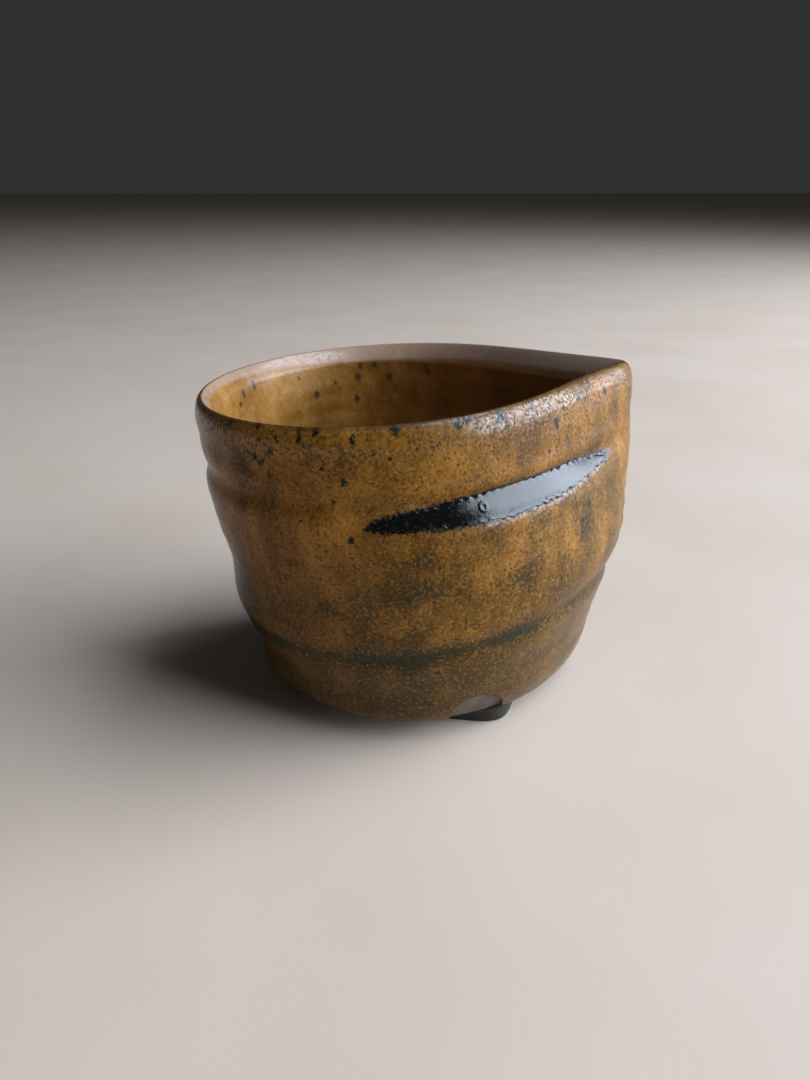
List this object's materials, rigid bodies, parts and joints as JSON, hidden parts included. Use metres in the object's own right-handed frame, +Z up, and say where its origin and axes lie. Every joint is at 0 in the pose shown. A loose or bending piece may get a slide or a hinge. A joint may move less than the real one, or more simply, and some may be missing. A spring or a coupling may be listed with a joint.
{
  "type": "matcha bowl",
  "caption": "Hand-formed ceramic tea bowl with one pinched lip corner, a groove holding a pool of dark glaze, and a low cut foot ring.",
  "frame": {"origin": "centre of the bounding box at the foot ring's resting face", "axes": "+X towards the pinched corner of the lip, +Z up, +Y completes the right-handed set; the pictured front faces -Y"},
  "size_m": [0.1214, 0.1018, 0.0925],
  "materials": {
    "body_clay": "bare purple-grey fired clay, matt",
    "foot_clay": "bare fired clay, dark and matt",
    "amber_glaze": "brown amber glaze, semi-gloss, streaked and flecked with iron",
    "inner_glaze": "brown amber glaze, semi-gloss, flecked with iron",
    "black_glaze": "thick black glaze, glossy"
  },
  "bodies": {
    "root": {"clay_body": "body_clay", "foot_ring": "foot_clay", "outer_glaze": "amber_glaze", "inner_glaze": "inner_glaze", "glaze_pool": "black_glaze"}
  },
  "joints": []
}
